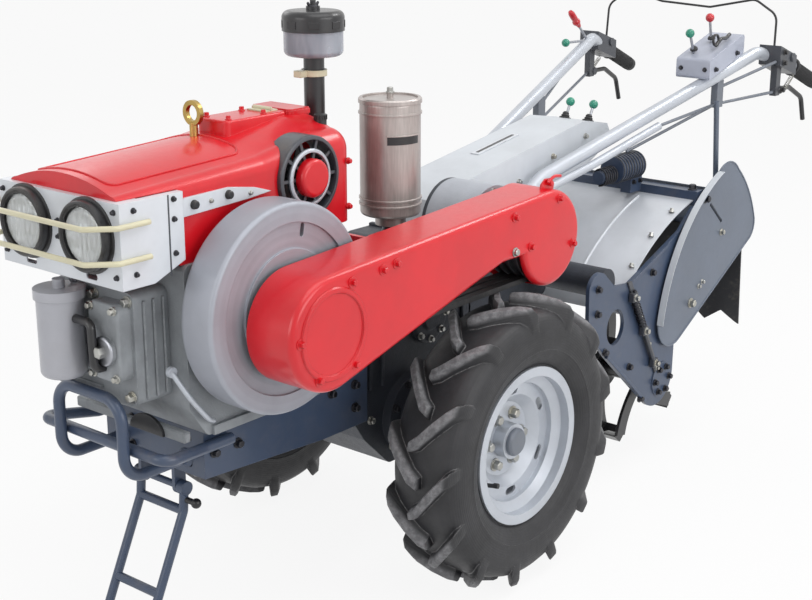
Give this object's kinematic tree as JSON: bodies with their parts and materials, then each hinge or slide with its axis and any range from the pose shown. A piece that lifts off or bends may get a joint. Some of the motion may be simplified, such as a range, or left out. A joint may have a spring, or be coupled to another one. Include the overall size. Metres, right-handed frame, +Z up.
{
  "type": "walk-behind power tiller",
  "caption": "Two-wheeled walking tractor with a diesel engine, belt drive, long handlebars, front stand and a rear rotary tiller under a hinged cover.",
  "frame": {"origin": "on the ground, at the centre of the outer box", "axes": "+X towards the engine (forward), +Y to the left, +Z up"},
  "size_m": [2.415, 0.87, 1.215],
  "materials": {
    "red_paint": "gloss enamel",
    "navy_paint": "satin enamel",
    "silver_paint": "satin enamel",
    "grey_paint": "satin enamel",
    "black_paint": "satin enamel",
    "cream_paint": "gloss enamel",
    "cast_grey": "painted casting",
    "cast_dark": "painted casting",
    "machined_steel": "turned and worn",
    "bright_steel": "polished",
    "brass": "dull",
    "tyre_rubber": "matte with dust",
    "rubber": "matte",
    "clear_plastic": "clear, dusty",
    "lamp_glass": "clear",
    "reflector": "bright",
    "green_plastic": "gloss",
    "red_plastic": "gloss"
  },
  "bodies": {
    "machine": {"air_pipe": "black_paint", "belt_guard": "red_paint", "chassis": "navy_paint", "control_cable": "rubber", "control_panel": "grey_paint", "control_rods": "machined_steel", "cover_bar": "navy_paint", "cylinder_head": "cast_grey", "engine_block": "cast_grey", "exhaust_pipe": "machined_steel", "fan_cap": "red_paint", "fan_grille": "grey_paint", "filler_cap": "black_paint", "filter_canister": "silver_paint", "front_hoop": "navy_paint", "gear_console": "silver_paint", "gearbox": "cast_dark", "green_knobs": "green_plastic", "grips": "rubber", "handlebar_left": "silver_paint", "handlebar_right": "silver_paint", "headlamp_bowls": "reflector", "headlamp_lenses": "lamp_glass", "headlamp_rims": "black_paint", "hood": "red_paint", "hood_trim": "bright_steel", "lamp_guard": "cream_paint", "lamp_housing": "silver_paint", "lever_brackets": "cast_grey", "lifting_eye": "brass", "oil_pipe": "black_paint", "precleaner_bowl": "clear_plastic", "precleaner_cap": "black_paint", "red_knobs": "red_plastic", "relay_rods": "machined_steel", "rotary_arm": "navy_paint", "rotary_chain_case": "navy_paint", "rotary_gearcase": "cast_dark", "rotary_hood": "silver_paint", "silencer": "bright_steel", "steering_clutch_levers": "black_paint", "v_belts": "rubber"},
    "wheel_left": {"tyre_left": "tyre_rubber", "rim_left": "silver_paint", "hub_left": "cast_grey"},
    "wheel_right": {"tyre_right": "tyre_rubber", "rim_right": "silver_paint", "hub_right": "cast_grey"},
    "flywheel": {"flywheel": "machined_steel", "crank_pulley": "cast_dark"},
    "clutch_pulley": {"clutch_pulley": "cast_dark"},
    "cooling_fan": {"cooling_fan": "black_paint"},
    "tiller_rotor": {"tiller_rotor": "black_paint"},
    "front_stand": {"front_stand": "navy_paint"},
    "rear_cover": {"rear_cover": "silver_paint", "rear_flap": "rubber"}
  },
  "joints": [
    {"name": "wheel_left_spin", "type": "hinge", "parent": "machine", "child": "wheel_left", "pos_m": [0.3225, 0.355, 0.315], "axis": [0, 1, 0], "continuous": true},
    {"name": "wheel_right_spin", "type": "hinge", "parent": "machine", "child": "wheel_right", "pos_m": [0.3225, -0.355, 0.315], "axis": [0, 1, 0], "continuous": true},
    {"name": "flywheel_spin", "type": "hinge", "parent": "machine", "child": "flywheel", "pos_m": [0.8425, 0.21, 0.7], "axis": [0, 1, 0], "continuous": true},
    {"name": "clutch_pulley_spin", "type": "hinge", "parent": "machine", "child": "clutch_pulley", "pos_m": [0.1845, 0.3, 0.724], "axis": [0, 1, 0], "continuous": true},
    {"name": "cooling_fan_spin", "type": "hinge", "parent": "machine", "child": "cooling_fan", "pos_m": [0.6895, 0.12, 0.906], "axis": [0, 1, 0], "continuous": true},
    {"name": "tiller_rotor_spin", "type": "hinge", "parent": "machine", "child": "tiller_rotor", "pos_m": [-0.4375, 0, 0.225], "axis": [0, 1, 0], "continuous": true},
    {"name": "front_stand_fold", "type": "hinge", "parent": "machine", "child": "front_stand", "pos_m": [0.9525, 0, 0.335], "axis": [0, 1, 0], "range_deg": [0, 100]},
    {"name": "rear_cover_lift", "type": "hinge", "parent": "machine", "child": "rear_cover", "pos_m": [-0.5895, 0, 0.668], "axis": [0, 1, 0], "range_deg": [0, 30]}
  ],
  "couplings": [
    {"joint": "clutch_pulley_spin", "follows": "flywheel_spin", "ratio": 0.7902}
  ]
}
